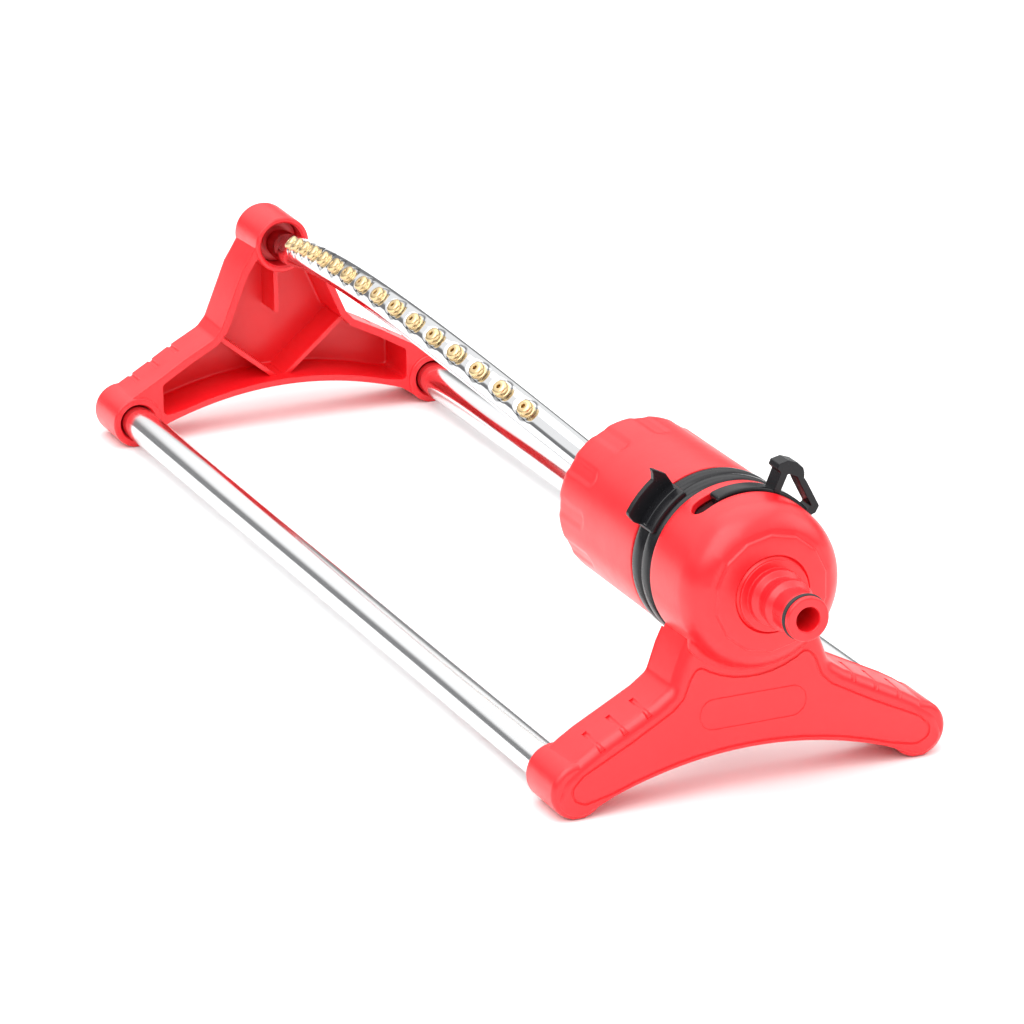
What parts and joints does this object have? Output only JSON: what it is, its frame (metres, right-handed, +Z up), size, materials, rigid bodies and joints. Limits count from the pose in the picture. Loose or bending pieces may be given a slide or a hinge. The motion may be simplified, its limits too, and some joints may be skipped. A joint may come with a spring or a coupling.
{
  "type": "oscillating garden sprinkler",
  "caption": "Oscillating lawn sprinkler: arched spray tube with brass nozzles swings between two moulded feet on tubular rails, with a quick hose connector.",
  "frame": {"origin": "centre of the footprint, on the surface the feet stand on", "axes": "+Y along the base tubes from the hose connector to the far foot, +Z up"},
  "size_m": [0.1458, 0.487, 0.1115],
  "materials": {
    "red_plastic": "semi-gloss moulded",
    "black_plastic": "satin moulded",
    "polished_tube": "polished",
    "aluminium_tube": "satin drawn",
    "brass": "turned",
    "rubber": "matte",
    "white_plastic": "moulded acetal",
    "spring_steel": "drawn wire"
  },
  "bodies": {
    "base": {"front_foot": "red_plastic", "rear_foot": "red_plastic", "base_tube_left": "aluminium_tube", "base_tube_right": "aluminium_tube", "hose_connector": "red_plastic", "connector_oring": "rubber", "inlet_filter": "white_plastic", "inlet_washer": "rubber", "inlet_spindle": "white_plastic", "spindle_seal": "rubber", "fixed_gear": "white_plastic", "rear_bush": "red_plastic"},
    "rear_stop": {"stop_ring_rear": "black_plastic"},
    "front_stop": {"stop_ring_front": "black_plastic"},
    "spray_head": {"drum_housing": "red_plastic", "drum_front_plate": "white_plastic", "gear_plate": "white_plastic", "jet_plate": "white_plastic", "spray_tube": "polished_tube", "tube_seal": "rubber", "tube_end_plug": "red_plastic", "toggle_spring": "spring_steel", "nozzle_01": "brass", "nozzle_02": "brass", "nozzle_03": "brass", "nozzle_04": "brass", "nozzle_05": "brass", "nozzle_06": "brass", "nozzle_07": "brass", "nozzle_08": "brass", "nozzle_09": "brass", "nozzle_10": "brass", "nozzle_11": "brass", "nozzle_12": "brass", "nozzle_13": "brass", "nozzle_14": "brass", "nozzle_15": "brass", "nozzle_16": "brass"},
    "output_wheel": {"output_gear": "white_plastic"},
    "idler_wheel": {"idler_gear": "white_plastic"},
    "turbine_wheel": {"turbine": "white_plastic"},
    "lever": {"reversing_lever": "white_plastic"}
  },
  "joints": [
    {"name": "spray_swing", "type": "hinge", "parent": "base", "child": "spray_head", "pos_m": [0, -0.1845, 0.0745], "axis": [0, 1, 0], "range_deg": [-3.2, 86.8]},
    {"name": "rear_stop_turn", "type": "hinge", "parent": "base", "child": "rear_stop", "pos_m": [0, -0.1845, 0.0745], "axis": [0, 1, 0], "range_deg": [-45, 12]},
    {"name": "front_stop_turn", "type": "hinge", "parent": "base", "child": "front_stop", "pos_m": [0, -0.1845, 0.0745], "axis": [0, 1, 0], "range_deg": [-12, 40]},
    {"name": "output_spin", "type": "hinge", "parent": "spray_head", "child": "output_wheel", "pos_m": [0.01044, -0.1845, 0.08383], "axis": [0, 1, 0], "range_deg": [-10, 220]},
    {"name": "idler_spin", "type": "hinge", "parent": "spray_head", "child": "idler_wheel", "pos_m": [-0.00151, -0.1845, 0.07476], "axis": [0, 1, 0], "range_deg": [-600, 24]},
    {"name": "turbine_spin", "type": "hinge", "parent": "spray_head", "child": "turbine_wheel", "pos_m": [-0.00575, -0.1845, 0.06037], "axis": [0, 1, 0], "range_deg": [-62, 1645]},
    {"name": "lever_tip", "type": "hinge", "parent": "spray_head", "child": "lever", "pos_m": [-0.00867, -0.1845, 0.08419], "axis": [0, 1, 0], "range_deg": [-6, 6]}
  ],
  "couplings": [
    {"joint": "output_spin", "follows": "spray_swing", "ratio": 2.5},
    {"joint": "idler_spin", "follows": "spray_swing", "ratio": -6.875},
    {"joint": "turbine_spin", "follows": "spray_swing", "ratio": 18.906}
  ]
}
